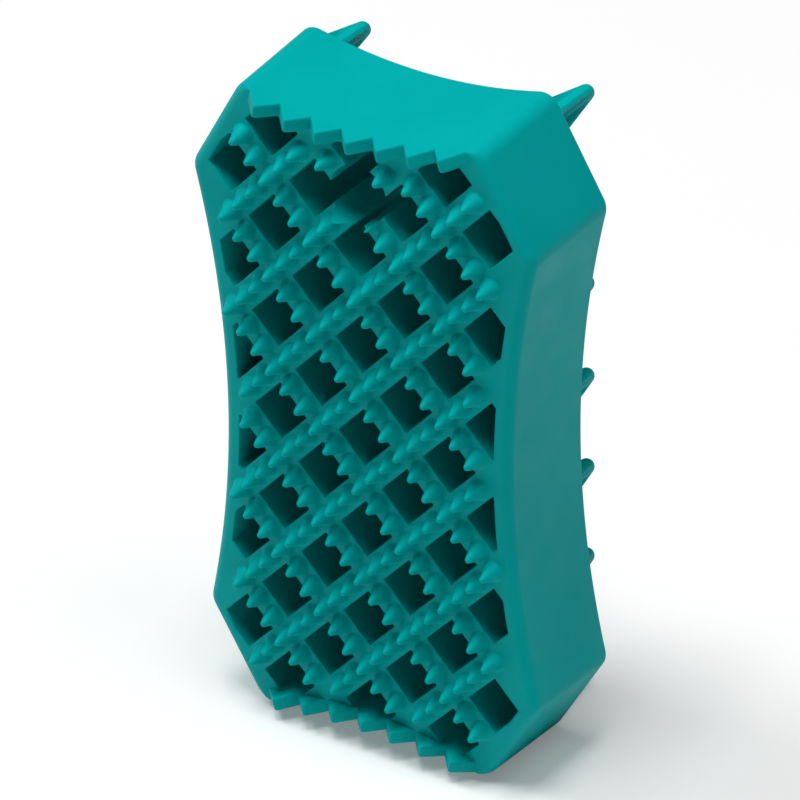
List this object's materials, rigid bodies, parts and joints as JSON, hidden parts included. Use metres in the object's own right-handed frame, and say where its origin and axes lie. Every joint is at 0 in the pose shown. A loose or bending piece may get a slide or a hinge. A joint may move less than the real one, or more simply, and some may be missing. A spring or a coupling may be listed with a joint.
{
  "type": "rubber curry brush",
  "caption": "Palm-sized two-sided rubber curry brush: waisted wall around a diagonal rib lattice with small cone teeth, saw-edged scraper ends and long fingers on the back.",
  "frame": {"origin": "centre of the bounding box in plan, at the lowest corners of the lower end, so the brush stands on its end", "axes": "+Z along the brush's length, -Y out of the toothed front, +Y along the long back fingers, +X to the right seen from the toothed front"},
  "size_m": [0.0722, 0.042, 0.1302],
  "materials": {
    "teal_rubber": "matte"
  },
  "bodies": {
    "root": {"back_finger_10_1": "teal_rubber", "back_finger_10_2": "teal_rubber", "back_finger_10_3": "teal_rubber", "back_finger_11_1": "teal_rubber", "back_finger_11_2": "teal_rubber", "back_finger_11_3": "teal_rubber", "back_finger_11_4": "teal_rubber", "back_finger_12_1": "teal_rubber", "back_finger_12_2": "teal_rubber", "back_finger_13_1": "teal_rubber", "back_finger_13_2": "teal_rubber", "back_finger_1_1": "teal_rubber", "back_finger_1_2": "teal_rubber", "back_finger_2_1": "teal_rubber", "back_finger_2_2": "teal_rubber", "back_finger_3_1": "teal_rubber", "back_finger_3_2": "teal_rubber", "back_finger_3_3": "teal_rubber", "back_finger_3_4": "teal_rubber", "back_finger_4_1": "teal_rubber", "back_finger_4_2": "teal_rubber", "back_finger_4_3": "teal_rubber", "back_finger_5_1": "teal_rubber", "back_finger_5_2": "teal_rubber", "back_finger_5_3": "teal_rubber", "back_finger_5_4": "teal_rubber", "back_finger_6_1": "teal_rubber", "back_finger_6_2": "teal_rubber", "back_finger_6_3": "teal_rubber", "back_finger_7_1": "teal_rubber", "back_finger_7_2": "teal_rubber", "back_finger_7_3": "teal_rubber", "back_finger_7_4": "teal_rubber", "back_finger_8_1": "teal_rubber", "back_finger_8_2": "teal_rubber", "back_finger_8_3": "teal_rubber", "back_finger_9_1": "teal_rubber", "back_finger_9_2": "teal_rubber", "back_finger_9_3": "teal_rubber", "back_finger_9_4": "teal_rubber", "left_side_wall": "teal_rubber", "lower_end_wall": "teal_rubber", "lower_left_corner_wall": "teal_rubber", "lower_right_corner_wall": "teal_rubber", "lower_scraper_lip": "teal_rubber", "right_side_wall": "teal_rubber", "short_rib_below_hole": "teal_rubber", "toothed_rib_1": "teal_rubber", "toothed_rib_2_left": "teal_rubber", "toothed_rib_2_right": "teal_rubber", "toothed_rib_3": "teal_rubber", "toothed_rib_4": "teal_rubber", "toothed_rib_5": "teal_rubber", "toothed_rib_6": "teal_rubber", "toothed_rib_7": "teal_rubber", "toothed_rib_8": "teal_rubber", "upper_end_wall": "teal_rubber", "upper_left_corner_wall": "teal_rubber", "upper_right_corner_wall": "teal_rubber", "upper_scraper_lip": "teal_rubber"}
  },
  "joints": []
}
